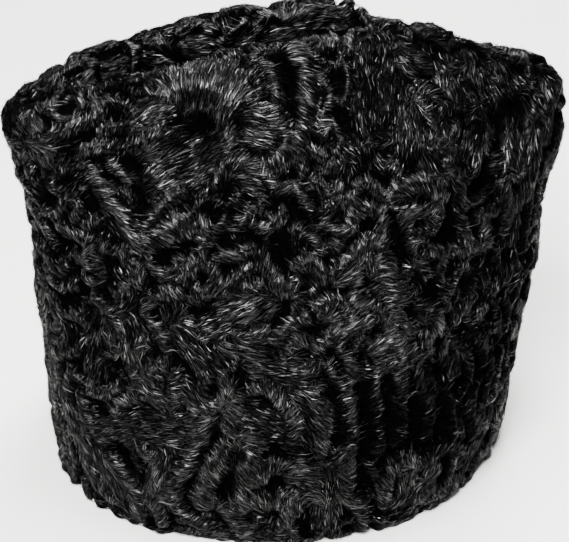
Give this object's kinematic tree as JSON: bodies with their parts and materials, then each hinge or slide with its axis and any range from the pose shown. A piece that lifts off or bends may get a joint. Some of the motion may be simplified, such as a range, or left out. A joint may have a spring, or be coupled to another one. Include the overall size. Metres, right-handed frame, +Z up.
{
  "type": "tall black karakul cap",
  "caption": "Tall boat-shaped cap of curled karakul pelt, standing on its opening, with wall panels that lean in to twin ridges and a crown folded in between them.",
  "frame": {"origin": "middle of the cap's box, on the surface that the rim stands on", "axes": "+X from the left tip to the right tip in the picture, +Z up, the camera's side is -Y"},
  "size_m": [0.2313, 0.1789, 0.1971],
  "materials": {
    "pelt": "curled glossy black karakul fur"
  },
  "bodies": {
    "root": {"near_panel": "pelt", "far_panel": "pelt", "crown": "pelt"}
  },
  "joints": []
}
